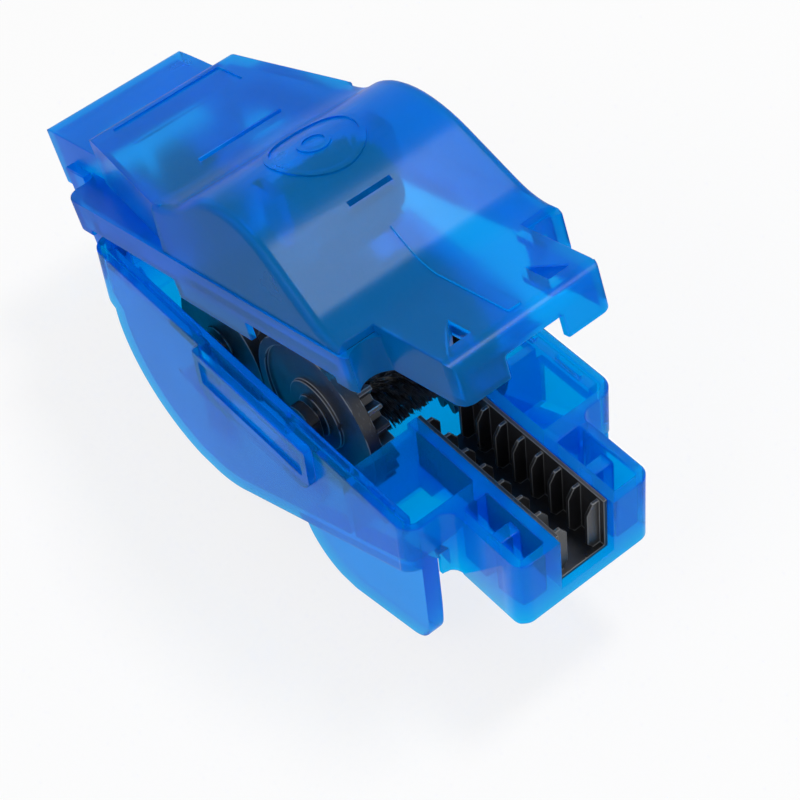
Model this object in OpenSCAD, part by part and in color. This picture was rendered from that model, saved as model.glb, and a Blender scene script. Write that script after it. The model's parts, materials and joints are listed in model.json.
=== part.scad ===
// Bicycle chain cleaner: a two-part housing that closes over a chain and scrubs it with three brushes.
// The origin is the middle of the flat under the belly. X points to the front, Z up, the rim is level.

/* [Housing] */
// Length of the housing from the front face to the tail
body_l = 150; // [144:1:160]
// Width of the housing across its wide middle
wide_w = 55; // [53:0.5:62]
// Width of the front and rear noses
nose_w = 34.4; // [33:0.2:38]
// Length of each nose
nose_l = 21; // [19:0.5:23]
// Height of the nose from its underside to the rim
nose_h = 19; // [18.6:0.2:21]
// Height of the rim above the table
rim_z = 46; // [45:0.5:50]
// Wall thickness of the lower housing
wall = 1.8; // [1.4:0.1:2.4]
// Radius of the round belly
belly_r = 29.2; // [28:0.2:30]
// Slope of the front ramp
ramp_a = 26.3; // [24:0.1:28]
// Corner radius of the wide middle, seen from above
wide_r = 4; // [3:0.5:6]
// Corner radius of the noses, seen from above
nose_r = 3; // [2:0.5:5]

/* [Feet] */
// Thickness of each foot plate
foot_t = 4; // [3:0.5:5]
// Distance of a foot plate's outer face from the middle
foot_y = 25; // [24:0.5:26]
// Radius of the round bottom of a foot
foot_r = 14; // [12:0.5:15]
// Radius of the front corner of a foot
foot_corner_r = 7.5; // [6:0.5:9]

/* [Chain channel] */
// Width of the channel that holds a comb
channel_w = 13.8; // [13:0.1:15]
// Depth of the channel below the rim
channel_d = 15.2; // [14.5:0.1:16]
// Length of the front channel
front_channel_l = 43; // [41:0.5:45]
// Length of the rear channel
rear_channel_l = 31; // [29:0.5:33]
// Thickness of the channel's side walls
channel_wall = 2.4; // [1.8:0.1:3]

/* [Combs] */
// Wall thickness of a comb
comb_t = 0.9; // [0.7:0.1:1.2]
// Reach of a comb's fins into the channel
fin_reach = 3.2; // [2.6:0.1:3.4]
// Thickness of a fin
fin_t = 0.8; // [0.6:0.1:1]
// Distance from fin to fin
fin_pitch = 5.4; // [5:0.1:6]
// Chamfer at a fin's top and bottom
fin_chamfer = 1.6; // [1:0.1:2]

/* [Toothed wheels] */
// Distance between the two lower axles
gear_span = 34.45; // [34:0.05:35]
// Teeth of each drive gear
drive_teeth = 28; // [26:1:28]
// Teeth of each rear gear
rear_teeth = 25; // [24:1:27]
// Face width of the teeth
gear_w = 3.4; // [2.8:0.2:3.6]
// Thickness of the disc outside the teeth
disc_t = 3; // [2.4:0.2:3.2]
// Distance of a drive gear's inner face from the middle
gear_y = 11.6; // [11.4:0.1:12.4]
// Radius of the disc beside the drive teeth
drive_disc_r = 19; // [18:0.2:19]
// Place of the drive axle, forward of the belly's middle
drive_x = 32; // [31.5:0.5:33]
// Depth of the drive axle below the rim
drive_drop = 8; // [7.5:0.1:8.5]
// Drop from the drive axle to the rear axle
rear_axle_drop = 6.5; // [6:0.1:7.5]
// Radius of the two lower axles
axle_r = 2; // [1.6:0.1:2.2]
// Outer radius of the lower hubs
hub_r = 5; // [4.4:0.1:5.4]

/* [Brushes] */
// Radius of the drive wheel's bristles
drive_brush_r = 11.8; // [11:0.1:12]
// Radius of the rear brush
rear_brush_r = 17.5; // [16.5:0.1:18]
// Radius of the lid brush
lid_brush_r = 10.6; // [10:0.1:10.8]
// Half width of every brush
brush_y = 10.6; // [9.6:0.1:10.8]
// Thickness of one bristle
bristle_t = 0.9; // [0.7:0.1:1.1]
// Tufts round the drive brush
drive_tufts = 14; // [12:1:14]
// Tufts round the rear brush
rear_tufts = 18; // [16:1:18]
// Tufts round the lid brush
lid_tufts = 14; // [12:1:14]
// Rows of tufts across a brush
tuft_rows = 8; // [7:1:8]
// Thickness of the sleeve that carries the bristles
sleeve_t = 1.1; // [0.9:0.1:1.3]

/* [Lid] */
// How far the lid's sides stand in from the housing's
lid_inset = 0.3; // [0.2:0.1:0.6]
// Width of the lid's noses
lid_nose_w = 36.6; // [36:0.2:38]
// Gap between the housing's rim and the closed lid
lid_gap = 0.5; // [0.4:0.1:0.8]
// Wall thickness of the lid
lid_wall = 1.7; // [1.4:0.1:2]
// Height of the flange along the lid's sides, above the rim
tray_h = 8.5; // [8:0.1:9.5]
// Height of the lid's front nose above the rim
roof_h = 10.3; // [10:0.1:11.5]
// Height of the hump's crest above the rim
crest_h = 28; // [27.6:0.1:30]
// Radius of the hump over its crest, seen from the side
crest_r = 25; // [23:0.5:27]
// Slope of the hump's front flank
flank_a = 39; // [37:0.5:41]
// Steepest slope of the hump's rear flank
back_a = 33; // [31:0.5:35]
// Radius of the hump's long edges
hump_edge_r = 2; // [2:0.5:4]
// Half width of the hump at its crest
hump_y = 24.8; // [24:0.1:25.4]
// Height of the flat deck above the rim
deck_h = 20; // [18:0.2:21]
// Height of the rear nose of the lid above the rim
tail_h = 14.6; // [13:0.2:16]
// Radius of the lid's front and rear top edges
lid_edge_r = 4; // [3:0.5:5]
// Place of the lid's axle, forward of the belly's middle
lid_axle_x = 36; // [35:0.5:37]
// Height of the lid's axle above the rim
lid_axle_h = 14.6; // [14.4:0.1:14.8]
// Radius of the lid's axle
lid_axle_r = 1.5; // [1.3:0.1:1.7]
// Outer radius of the lid brush's hub
lid_hub_r = 4; // [3.6:0.1:4.2]

/* [Lid hinge] */
// Opening of the lid as shown, in degrees from closed
open_a = 17; // [10:1:30]
// Place of the hinge pins, forward of the tail
hinge_in = 14; // [13.5:0.5:14.5]
// Depth of the hinge pins below the rim
hinge_drop = 15; // [14.8:0.1:15.4]
// Radius of a hinge pin
pin_r = 1.5; // [1.3:0.1:1.7]
// Radius of the lid's ears round the pins
ear_r = 4; // [3.5:0.1:4.4]
// Thickness of an ear
ear_t = 2.6; // [2:0.1:3]

/* [Hidden] */
$fn = 64;

// One overrun for every cut
cut = 1;
// Radial clearance of a turning fit
run_gap = 0.05;
// Radial clearance of a seat that doesn't turn
seat_gap = 0.02;
// Gap between a comb and its channel
comb_gap = 0.15;
// Gap between pieces that pass each other
pass_gap = 0.6;

// Outline of the housing
front_x = 95;
tail_x = front_x - body_l;
wide_x1 = front_x - nose_l;
wide_x0 = tail_x + nose_l;
nose_z = rim_z - nose_h;
belly_flat = 0.2;
belly_z = belly_r - belly_flat;
ramp_bite = 0.05;
fillet_r = nose_r;
shoulder_z = rim_z - 0.7 * nose_h;
floor_z = rim_z - channel_d;
foot_x = 46;
foot_rise = 5;
trough_y = channel_w / 2 + channel_wall;
front_channel_x = front_x - front_channel_l;
rear_channel_x = tail_x + rear_channel_l;

// Rim band, its grooves and the latch pads
band_w = 2.2;
band_h = 5;
band_step = 0.8;
groove_w = 1;
groove_d = 2.4;
groove_share = [[0.93, 0.86], [0.8, 0.62], [0.16, 0.34]];
pad_w = 2;
pad_h = 14;
pad_x0 = 6;
pad_x1 = 44;
pad_r = 5;
pad_rim = 2;
pad_sink = 0.7;
tab_x0 = 8;
tab_x1 = 35;
tab_drop = 2.6;
tab_gap = 0.5;
tab_t = 1.4;

// Pockets in the front nose
pocket_wall = 2.2;
pocket_floor = 4;
pocket_rib = 3.2;
pocket_rib_drop = 2.5;
bulkhead_t = 1.8;
bulkhead_drop = 2;

// Places of the axles and the hinge
drive_z = rim_z - drive_drop;
gear_m = 2 * gear_span / (drive_teeth + rear_teeth);
rear_axle_z = drive_z - rear_axle_drop;
rear_axle_x = drive_x - sqrt(gear_span * gear_span - rear_axle_drop * rear_axle_drop);
hinge_x = tail_x + hinge_in;
hinge_z = rim_z - hinge_drop;
tail_r = hinge_drop - lid_gap;
ear_y = nose_w / 2 + pass_gap;
ear_web = 8;
pin_in = 7.6;
boss_wall = 2.2;
boss_r = pin_r + boss_wall;

// Toothed wheels
disc_y = gear_y + gear_w;
post_gap = 1.4;
post_y = disc_y + disc_t + post_gap;
post_t = 2.6;
post_w = 9;
post_drop = 5.5;
tie_t = 2;
axle_end_y = post_y + post_t;
hub_proud = 0.4;
rear_disc_in = 9.5;
rear_disc_r = hub_r + rear_disc_in;
gear_rim = 2.6;
addendum = 0.8 * gear_m;
dedendum = 1.1 * gear_m;
tooth_w_share = 0.82;
tip_w_share = 0.42;
root_w_share = 1.12;
dish_d = 0.8;
dish_hub = 3.4;
dish_rim = 2.2;
dish_in = hub_r + dish_hub;
dish_out = drive_disc_r - dish_rim;
lid_brush_in = 0.6;
lid_brush_y = brush_y - lid_brush_in;
lid_disc_rim = 3.6;
lid_disc_r = lid_hub_r + lid_disc_rim;
lid_disc_t = 1;

// Lid
lid_z0 = rim_z + lid_gap;
tray_z = rim_z + tray_h;
roof_z = rim_z + roof_h;
crest_z = rim_z + crest_h;
deck_z = rim_z + deck_h;
lid_tail_z = rim_z + tail_h;
skirt_h = 2;
skirt_in = 8;
seam = 0.2;
tongue_t = 1.2;
tongue_gap = 0.3;
lid_front_in = 0.8;

// Hump: the crest's arc, a straight flank and a foot in front, an arc down to the deck behind
foot_steps = 7;
crest_steps = 12;
back_steps = 6;
edge_steps = 5;
down = 270;
hump_x1 = wide_x1 - wide_r;
foot_fillet_r = 14;
flank_drop = crest_z - roof_z - (crest_r + foot_fillet_r) * (1 - cos(flank_a));
flank_l = flank_drop / sin(flank_a);
crest_x = hump_x1 - (crest_r + foot_fillet_r) * sin(flank_a) - flank_l * cos(flank_a);
back_r = (crest_z - deck_z) / (1 - cos(back_a)) - crest_r;
deck_x1 = crest_x - (crest_r + back_r) * sin(back_a);
flange_in = 0.25;
hump_foot_z = tray_z - lid_wall;
hump_foot_y = wide_w / 2 - lid_inset - flange_in;
tail_step = 3;
deck_x0 = wide_x0 + tail_step;
deck_in = 0.3;
deck_y1 = side_y(deck_z, deck_in);
deck_y0 = lid_nose_w / 2 + deck_in;
deck_over = 4;
deck_corner_r = 3;
label_in = 0.6;
label_l = 10;
label_side = 4.5;
label_sink = 0.4;
bar_w = 1.6;
bar_y = 10.5;
bar_x = 2.6;
ring_x = 34.2;
ring_r = 10.5;
ring_t = 1.2;
ring_h = 0.4;
ring_deep = 5;
small_ring_r = 3.6;
vent_x = 49.8;
vent_y = 5.3;
vent_w = 1;
scoop_r = 4.8;
scoop_out = 1.2;
scoop_y = (wide_w / 2 + nose_w / 2) / 2;
keel_w = 3;
keel_h = 0.4;
keel_back = 7;
keel_x0 = vent_x + keel_back;
window_l = 7;
window_w = 5;
window_out = 0.8;
collar_t = 0.9;
collar_h = 3.6;
arch_w = 14;
arch_h = 5;
plate_t = 2;
plate_gap = 1.4;
plate_foot = 0.9;
plate_y = lid_brush_y + lid_disc_t + plate_gap;
plate_w = 8;
lid_axle_z = rim_z + lid_axle_h;

// Colours
blue = [0.05, 0.45, 0.9, 0.6];
lid_blue = [0.05, 0.5, 0.95, 0.6];
black = [0.06, 0.06, 0.07];
steel = [0.7, 0.72, 0.74];

// A rectangle between two X values with round corners, centred on the X axis
module round_box(x0, x1, half, r) {
    translate([x0, r - half]) square([x1 - x0, 2 * (half - r)]);
    translate([x0 + r, -half]) square([x1 - x0 - 2 * r, 2 * half]);
    for (x = [x0 + r, x1 - r], s = [-1, 1]) translate([x, s * (half - r)]) circle(r);
}

// An outline in the XZ plane, given thickness along Y about the middle
module side_extrude(w) {
    rotate([90, 0, 0]) linear_extrude(w, center = true) children();
}

// A shape built along Z is turned to lie along Y at an axle
module on_axle(x, z) {
    translate([x, 0, z]) rotate([90, 0, 0]) children();
}

// Outline of the wide middle seen from above, drawn in by d
module wide_plan(d) {
    round_box(wide_x0 + d, wide_x1 - d, wide_w / 2 - d, max(wide_r - d, wide_r / 4));
}

// Outline of both noses and what joins them seen from above, drawn in by d
module nose_plan(d) {
    round_box(tail_x + d, front_x - d, nose_w / 2 - d, max(nose_r - d, nose_r / 4));
}

// The concave rounding where a nose meets the wide middle, drawn in by dx and dy
module nose_fillets(dx, dy) {
    for (s = [-1, 1], e = [-1, 1]) {
        x = e > 0 ? wide_x1 - dx : wide_x0 + dx;
        y = s * (nose_w / 2 - dy);
        difference() {
            translate([x - (e > 0 ? cut : fillet_r), y - (s > 0 ? cut : fillet_r)])
                square([fillet_r + cut, fillet_r + cut]);
            translate([x + e * fillet_r, y + s * fillet_r]) circle(fillet_r);
        }
    }
}

// Height of the ramp's underside at x, drawn in by d
function ramp_z(x, d) = belly_z + (x * sin(ramp_a) - (belly_r - d)) / cos(ramp_a);

// Side outline of the wide middle, drawn in by d
module wide_side(d, top) {
    r = belly_r - d;
    translate([0, belly_z]) circle(r);
    polygon([[wide_x1 - d, top], [wide_x1 - d, ramp_z(wide_x1 - d, d)],
        [(r - ramp_bite) * sin(ramp_a), belly_z - (r - ramp_bite) * cos(ramp_a)],
        [0, belly_z], [-r, belly_z],
        [wide_x0 + d, shoulder_z + d], [wide_x0 + d, top]]);
}

// Side outline of the noses, with the tail rounded about the hinge pins
module nose_side(top) {
    translate([hinge_x, nose_z]) square([front_x - hinge_x, top - nose_z]);
    intersection() {
        translate([hinge_x, hinge_z]) circle(tail_r);
        translate([tail_x, nose_z]) square([hinge_in, nose_h]);
    }
}

// Side outline of a foot plate
module foot_side() {
    z1 = foot_r - belly_flat;
    x1 = foot_x;
    x2 = wide_x1 - foot_corner_r;
    z2 = foot_corner_r + foot_rise;
    top = ramp_z(wide_x1, 0) + belly_flat;
    lean = atan2(z2 - z1, x2 - x1) - acos((foot_r - foot_corner_r) / norm([x2 - x1, z2 - z1]));
    translate([x1, z1]) circle(foot_r);
    translate([x2, z2]) circle(foot_corner_r);
    polygon([[x1 + foot_r * cos(lean), z1 + foot_r * sin(lean)],
        [x2 + foot_corner_r * cos(lean), z2 + foot_corner_r * sin(lean)],
        [wide_x1, z2], [wide_x1, top], [x1, top], [x1 - foot_r, z1]]);
}

// Everything below the floor line of the table is cut away
module above_table() {
    translate([tail_x - cut, -wide_w, 0]) cube([body_l + 2 * cut, 2 * wide_w, crest_z]);
}

module base_outer() {
    intersection() {
        linear_extrude(rim_z) wide_plan(0);
        side_extrude(wide_w + cut) wide_side(0, rim_z + cut);
        above_table();
    }
    intersection() {
        linear_extrude(rim_z) {
            nose_plan(0);
            nose_fillets(0, 0);
        }
        side_extrude(wide_w + cut) difference() {
            nose_side(rim_z);
            translate([0, belly_z]) circle(belly_r - wall);
        }
    }
}

module base_cavity() {
    intersection() {
        linear_extrude(rim_z + cut) wide_plan(wall);
        side_extrude(wide_w) wide_side(wall, rim_z + 2 * cut);
    }
}

// The two troughs that carry the combs, solid until the channel is cut
module troughs() {
    for (x = [[front_channel_x, front_x - nose_l + cut], [tail_x + nose_l - cut, rear_channel_x]])
        translate([x[0], -trough_y, nose_z]) cube([x[1] - x[0], 2 * trough_y, nose_h]);
}

// Thick band inside the long sides that carries the lid's tongue
module rim_bands() {
    for (s = [-1, 1])
        translate([wide_x0 + wide_r, s > 0 ? wide_w / 2 - wall - band_w : wall / 2 - wide_w / 2,
            rim_z - band_h]) cube([wide_x1 - wide_x0 - 2 * wide_r, band_w + wall / 2, band_h - band_step]);
}

module rim_grooves() {
    span = wide_x1 - wide_x0;
    for (s = [-1, 1], g = groove_share) {
        x0 = wide_x0 + min(g[0], g[1]) * span;
        translate([x0, s * (wide_w / 2 - wall - groove_w / 2 - 0.2 * wall) - groove_w / 2, rim_z - groove_d])
            cube([abs(g[0] - g[1]) * span, groove_w, groove_d + cut]);
    }
}

// A raised pad on each side, into which the lid's tab drops
module pads() {
    for (s = [-1, 1]) translate([0, s * (wide_w / 2 + pad_w / 2 - wall / 4), 0])
        side_extrude(pad_w + wall / 2) {
            translate([pad_x0, rim_z - pad_h + pad_r]) square([pad_x1 - pad_x0, pad_h - pad_r]);
            translate([pad_x0 + pad_r, rim_z - pad_h]) square([pad_x1 - pad_x0 - 2 * pad_r, pad_h]);
            for (x = [pad_x0 + pad_r, pad_x1 - pad_r])
                translate([x, rim_z - pad_h + pad_r]) circle(pad_r);
        }
}

module pad_sinks() {
    for (s = [-1, 1])
        translate([pad_x0 + pad_rim, s > 0 ? wide_w / 2 + pad_w - pad_sink : -wide_w / 2 - pad_w - cut,
            rim_z - pad_h + pad_r])
            cube([pad_x1 - pad_x0 - 2 * pad_rim, pad_sink + cut, pad_h - pad_r - pad_rim]);
}

// The slot for the lid's tab, through the band and half the wall
module tab_slots() {
    slot_w = tab_t + 2 * tab_gap;
    for (s = [-1, 1])
        translate([tab_x0 - 2 * pass_gap, s * (wide_w / 2 - lid_inset - tab_t / 2) - slot_w / 2,
            rim_z - tab_drop - 2 * tab_gap])
            cube([tab_x1 - tab_x0 + 3 * pass_gap, slot_w, tab_drop + 2 * tab_gap + cut]);
}

module nose_pockets() {
    x0 = wide_x1 + pocket_wall;
    x1 = front_x - pocket_wall;
    y0 = trough_y;
    y1 = nose_w / 2 - pocket_wall;
    xr = (x0 + x1 - pocket_rib) / 2;
    for (s = [-1, 1]) {
        y = s > 0 ? y0 : -y1;
        for (x = [[x0, xr], [xr + pocket_rib, x1]])
            translate([x[0], y, nose_z + pocket_floor]) cube([x[1] - x[0], y1 - y0, nose_h]);
        translate([x0, y, rim_z - pocket_rib_drop]) cube([x1 - x0, y1 - y0, nose_h]);
    }
}

// Cross walls between the front trough and the sides
module bulkheads() {
    intersection() {
        for (s = [-1, 1])
            translate([front_channel_x, s > 0 ? trough_y - cut : -wide_w / 2 + wall / 2, 0])
                cube([bulkhead_t, wide_w / 2 - wall / 2 - trough_y + cut, rim_z - bulkhead_drop]);
        side_extrude(wide_w + cut) wide_side(wall / 2, rim_z + cut);
    }
}

// Posts, tied to the side walls, that carry the bearing blocks of the two lower axles
module axle_posts() {
    intersection() {
        for (p = [[drive_x, drive_z], [rear_axle_x, rear_axle_z]], s = [-1, 1])
            translate([p[0] - post_w / 2, s > 0 ? post_y : -post_y - post_t, 0])
                cube([post_w, post_t, p[1] - post_drop]);
        side_extrude(wide_w) wide_side(wall / 2, rim_z + cut);
    }
    for (p = [[drive_x, drive_z], [rear_axle_x, rear_axle_z]], s = [-1, 1])
        translate([p[0] - post_w / 2, s > 0 ? post_y : wall / 2 - wide_w / 2, p[1] - post_drop - tie_t])
            cube([post_w, wide_w / 2 - wall / 2 - post_y, tie_t]);
}

module feet() {
    difference() {
        for (s = [-1, 1]) translate([0, s * (foot_y - foot_t / 2), 0]) side_extrude(foot_t) foot_side();
        base_cavity();
    }
}

module base_solid() {
    difference() {
        base_outer();
        difference() {
            base_cavity();
            troughs();
        }
    }
    rim_bands();
    pads();
    bulkheads();
    axle_posts();
    intersection() {
        feet();
        above_table();
    }
}

module channels() {
    translate([front_channel_x - cut, -channel_w / 2, floor_z])
        cube([front_channel_l + 2 * cut, channel_w, channel_d + cut]);
    translate([tail_x - cut, -channel_w / 2, floor_z])
        cube([rear_channel_l + 2 * cut, channel_w, channel_d + cut]);
}

module tail_pockets() {
    y0 = trough_y;
    y1 = nose_w / 2 - pocket_wall;
    for (s = [-1, 1])
        translate([tail_x + pocket_wall, s > 0 ? y0 : -y1, nose_z + pocket_floor])
            cube([hinge_in - boss_r - pocket_wall, y1 - y0, nose_h]);
}

// Blind bores in the sides of the rear nose, for the hinge pins
module pin_bores() {
    on_axle(hinge_x, hinge_z) difference() {
        cylinder(r = pin_r + seat_gap, h = nose_w + 2 * cut, center = true);
        cylinder(r = boss_r, h = nose_w - 2 * pin_in - 2 * seat_gap, center = true);
    }
}

module base_shell() color(blue) difference() {
    base_solid();
    channels();
    nose_pockets();
    tail_pockets();
    rim_grooves();
    pad_sinks();
    tab_slots();
    pin_bores();
}

// A comb is a thin trough with a row of fins on each side
module comb(x0, x1) {
    half = channel_w / 2 - comb_gap;
    z0 = floor_z + comb_gap;
    z1 = rim_z - comb_gap;
    count = floor((x1 - x0 - 2 * fin_t) / fin_pitch);
    start = (x1 - x0 - count * fin_pitch) / 2;
    difference() {
        translate([x0, -half, z0]) cube([x1 - x0, 2 * half, z1 - z0]);
        translate([x0 - cut, comb_t - half, z0 + comb_t]) cube([x1 - x0 + 2 * cut, 2 * (half - comb_t), z1]);
    }
    root = half - comb_t / 2;
    tip = half - comb_t - fin_reach;
    for (i = [0 : count], s = [-1, 1])
        translate([x0 + start + i * fin_pitch - fin_t / 2, 0, 0]) rotate([90, 0, 90]) linear_extrude(fin_t)
            polygon([[s * root, z0 + comb_t / 2], [s * (tip + fin_reach / 2), z0 + comb_t / 2],
                [s * tip, z0 + comb_t + fin_chamfer], [s * tip, z1 - 2 * fin_chamfer],
                [s * (tip + fin_reach / 2), z1 - fin_chamfer / 2], [s * root, z1 - fin_chamfer / 2]]);
}

module front_comb() color(black) comb(front_channel_x + comb_gap, front_x - 2 * fin_t);

module rear_comb() color(black) intersection() {
    comb(tail_x + fin_t, rear_channel_x - comb_gap);
    side_extrude(nose_w) {
        translate([hinge_x, nose_z]) square([body_l, 2 * nose_h]);
        translate([hinge_x, hinge_z]) circle(tail_r - comb_gap);
    }
}

module hinge_pins() color(steel) for (s = [-1, 1])
    translate([hinge_x, s * (nose_w / 2 - pin_in / 2 + (ear_t + pass_gap) / 2), hinge_z]) rotate([90, 0, 0])
        cylinder(r = pin_r, h = pin_in + ear_t + pass_gap, center = true);

// A pair of bearing blocks that stand on the posts
module bearing_pair(x, z) {
    for (s = [-1, 1]) translate([0, s * (post_y + post_t / 2), 0]) side_extrude(post_t) difference() {
        union() {
            translate([x, z]) circle(post_w / 2);
            translate([x - post_w / 2, z - post_drop]) square([post_w, post_drop]);
        }
        translate([x, z]) circle(axle_r + seat_gap);
    }
}

module front_bearings() color(black) bearing_pair(drive_x, drive_z);
module rear_bearings() color(black) bearing_pair(rear_axle_x, rear_axle_z);

module lower_axle(x, z) {
    on_axle(x, z) cylinder(r = axle_r, h = 2 * axle_end_y, center = true);
}

module front_axle() color(steel) lower_axle(drive_x, drive_z);
module rear_axle() color(steel) lower_axle(rear_axle_x, rear_axle_z);

module tube_along(r_out, r_in, h) {
    difference() {
        cylinder(r = r_out, h = h, center = true);
        cylinder(r = r_in, h = h + 2 * cut, center = true);
    }
}

// Outline of a gear with straight-flanked teeth
module gear_outline(teeth, turn) {
    pitch_r = gear_m * teeth / 2;
    half_w = PI * gear_m / 4;
    circle(pitch_r - dedendum);
    for (i = [0 : teeth - 1]) rotate(turn + i * 360 / teeth)
        polygon([[pitch_r - dedendum - gear_m / 2, half_w * root_w_share],
            [pitch_r - dedendum, half_w * root_w_share], [pitch_r, half_w * tooth_w_share],
            [pitch_r + addendum, half_w * tip_w_share], [pitch_r + addendum, -half_w * tip_w_share],
            [pitch_r, -half_w * tooth_w_share], [pitch_r - dedendum, -half_w * root_w_share],
            [pitch_r - dedendum - gear_m / 2, -half_w * root_w_share]]);
}

// Angle from the drive axle to the rear axle, seen along the axle
mesh_a = 180 + atan2(rear_axle_drop, drive_x - rear_axle_x);

// A toothed wheel: teeth inboard, a flat disc outboard, pressed on the hub; s is the side
module toothed_wheel(s, teeth, turn, disc_r, dished) {
    pitch_r = gear_m * teeth / 2;
    rotate([s < 0 ? 0 : 180, 0, 0]) translate([0, 0, gear_y]) difference() {
        union() {
            linear_extrude(gear_w) mirror([0, s < 0 ? 0 : 1, 0]) gear_outline(teeth, turn);
            translate([0, 0, gear_w]) cylinder(r = disc_r, h = disc_t);
        }
        translate([0, 0, -cut]) cylinder(r = hub_r + seat_gap, h = gear_w + disc_t + 2 * cut);
        difference() {
            translate([0, 0, -cut]) cylinder(r = pitch_r - dedendum - gear_rim, h = gear_w + cut);
            translate([0, 0, -2 * cut]) cylinder(r = hub_r + gear_rim, h = gear_w + 4 * cut);
        }
        if (dished) translate([0, 0, gear_w + disc_t - dish_d]) difference() {
            cylinder(r = dish_out, h = dish_d + cut);
            translate([0, 0, -cut]) cylinder(r = dish_in, h = dish_d + 3 * cut);
        }
    }
}

module drive_hub() color(black) on_axle(drive_x, drive_z)
    tube_along(hub_r, axle_r + run_gap, 2 * (disc_y + disc_t + hub_proud));
module rear_hub() color(black) on_axle(rear_axle_x, rear_axle_z)
    tube_along(hub_r, axle_r + run_gap, 2 * (disc_y + disc_t + hub_proud));

module near_drive_gear() color(black) on_axle(drive_x, drive_z)
    toothed_wheel(-1, drive_teeth, mesh_a, drive_disc_r, true);
module far_drive_gear() color(black) on_axle(drive_x, drive_z)
    toothed_wheel(1, drive_teeth, mesh_a, drive_disc_r, true);
module near_rear_gear() color(black) on_axle(rear_axle_x, rear_axle_z)
    toothed_wheel(-1, rear_teeth, mesh_a + 180 + 180 / rear_teeth, rear_disc_r, false);
module far_rear_gear() color(black) on_axle(rear_axle_x, rear_axle_z)
    toothed_wheel(1, rear_teeth, mesh_a + 180 + 180 / rear_teeth, rear_disc_r, false);

// A sleeve with rows of straight bristles that radiate from it
module brush(core_r, tip_r, half, tufts) {
    tube_along(core_r + sleeve_t, core_r + seat_gap, 2 * half);
    step = 2 * (half - bristle_t) / (tuft_rows - 1);
    for (row = [0 : tuft_rows - 1], i = [0 : tufts - 1])
        translate([0, 0, bristle_t - half + row * step]) rotate((i + (row % 2) / 2) * 360 / tufts)
            translate([core_r + sleeve_t / 2, 0, 0]) rotate([0, 90, 0])
                cylinder(d = bristle_t, h = tip_r - core_r - sleeve_t / 2, $fn = 3);
}

module drive_bristles() color(black) on_axle(drive_x, drive_z)
    brush(hub_r, drive_brush_r, brush_y, drive_tufts);
module rear_bristles() color(black) on_axle(rear_axle_x, rear_axle_z)
    brush(hub_r, rear_brush_r, brush_y, rear_tufts);

// What belongs to the lid is drawn closed, then swung open about the hinge pins
module on_lid() {
    translate([hinge_x, 0, hinge_z]) rotate([0, -open_a, 0]) translate([-hinge_x, 0, -hinge_z]) children();
}

// Centres of the hump's arcs, seen from the side
crest_c = [crest_x, crest_z - crest_r];
front_foot_c = [hump_x1, roof_z + foot_fillet_r];
back_foot_c = [deck_x1, deck_z + back_r];

// Stations along the hump from front to rear: centre, radius, sign of a step inward, angle
hump_stations = concat(
    [for (i = [0 : foot_steps]) [front_foot_c, foot_fillet_r, 1, down - flank_a * i / foot_steps]],
    [for (i = [0 : crest_steps])
        [crest_c, crest_r, -1, 90 - flank_a + (flank_a + back_a) * i / crest_steps]],
    [for (i = [1 : back_steps]) [back_foot_c, back_r, 1, down + back_a * (1 - i / back_steps)]]);

// The point of a station that lies t inside the surface
function station_point(s, t) = s[0] + (s[1] + s[2] * t) * [cos(s[3]), sin(s[3])];

// Half width of the hump's leaning sides at height z, drawn in by d
function side_y(z, d) = hump_foot_y - d - (hump_foot_y - hump_y) * (z - hump_foot_z) / (crest_z - hump_foot_z);

// The closed section at a station, drawn in by d, with both upper corners rounded by r
function hump_ring(s, d, r, z0) =
    let (arc = [for (k = [0 : edge_steps])
            let (a = 90 * k / edge_steps, p = station_point(s, d + r * (1 - cos(a))))
            [p[0], side_y(p[1], d) - r * (1 - sin(a)), p[1]]],
        x = arc[edge_steps][0], y = side_y(hump_foot_z, d))
    concat([[x, y, z0], [x, y, hump_foot_z]], [for (k = [edge_steps : -1 : 0]) arc[k]],
        [for (p = arc) [p[0], -p[1], p[2]]], [[x, -y, hump_foot_z], [x, -y, z0]]);

// The wide hump, drawn in by d: crest, straight flank and two hollow feet, with its long edges rounded
module hump(d) {
    z0 = d > 0 ? lid_z0 - cut : lid_z0;
    rings = [for (s = hump_stations) hump_ring(s, d, hump_edge_r - d, z0)];
    m = len(rings[0]);
    n = len(rings);
    polyhedron([for (g = rings) each g], concat(
        [[for (j = [m - 1 : -1 : 0]) j]],
        [for (i = [0 : n - 2], j = [0 : m - 1])
            [i * m + j, i * m + (j + 1) % m, (i + 1) * m + (j + 1) % m, (i + 1) * m + j]],
        [[for (j = [0 : m - 1]) (n - 1) * m + j]]));
}

// The flat deck behind the hump, narrower towards the tail, with rounded corners
module deck(d, top) {
    r = lid_edge_r - d;
    z0 = d > 0 ? lid_z0 - cut : lid_z0;
    x1 = deck_x1 + deck_over;
    intersection() {
        linear_extrude(top) offset(r = deck_corner_r - d) offset(delta = -deck_corner_r)
            polygon([[x1, -deck_y1], [x1, deck_y1], [deck_x1, deck_y1],
                [deck_x0, deck_y0], [deck_x0, -deck_y0], [deck_x1, -deck_y1]]);
        side_extrude(wide_w) {
            translate([deck_x0 + d + r, z0]) square([x1 - deck_x0, top - z0]);
            translate([deck_x0 + d, z0]) square([r + cut, top - r - z0]);
            translate([deck_x0 + d + r, top - r]) circle(r);
        }
    }
}

// Outline of the lid's noses seen from above, drawn in by d
module lid_nose_plan(d) {
    round_box(tail_x + d, front_x - lid_front_in - d, lid_nose_w / 2 - d, max(nose_r - d, nose_r / 4));
}

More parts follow.
